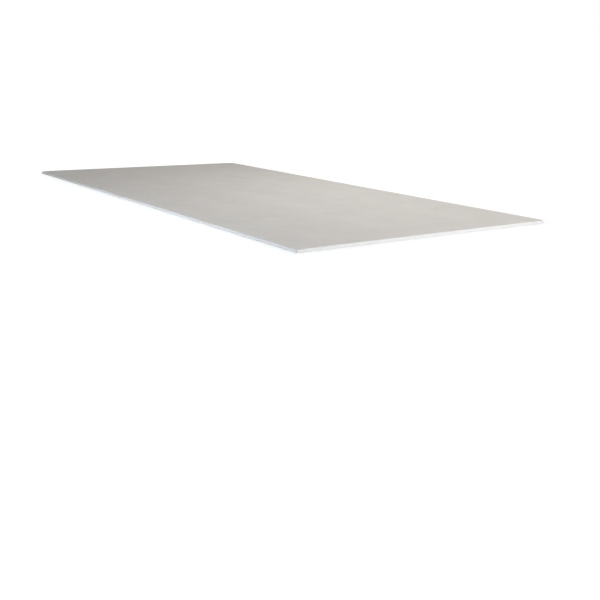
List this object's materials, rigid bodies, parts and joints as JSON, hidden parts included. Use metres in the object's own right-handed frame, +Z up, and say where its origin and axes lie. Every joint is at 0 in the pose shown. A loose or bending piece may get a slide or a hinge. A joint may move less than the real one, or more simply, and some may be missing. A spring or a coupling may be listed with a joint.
{
  "type": "drywall sheet",
  "caption": "Flat rectangular gypsum board with tapered, paper-bound long edges and square-sawn ends, fixed to framing to line walls and ceilings.",
  "frame": {"origin": "middle of the back, on the surface that the sheet lies on", "axes": "+X along the length, +Y across the width, +Z up out of the face"},
  "size_m": [2.4384, 1.2192, 0.0127],
  "materials": {
    "face_paper": "matte"
  },
  "bodies": {
    "root": {"drywall_sheet": "face_paper"}
  },
  "joints": []
}
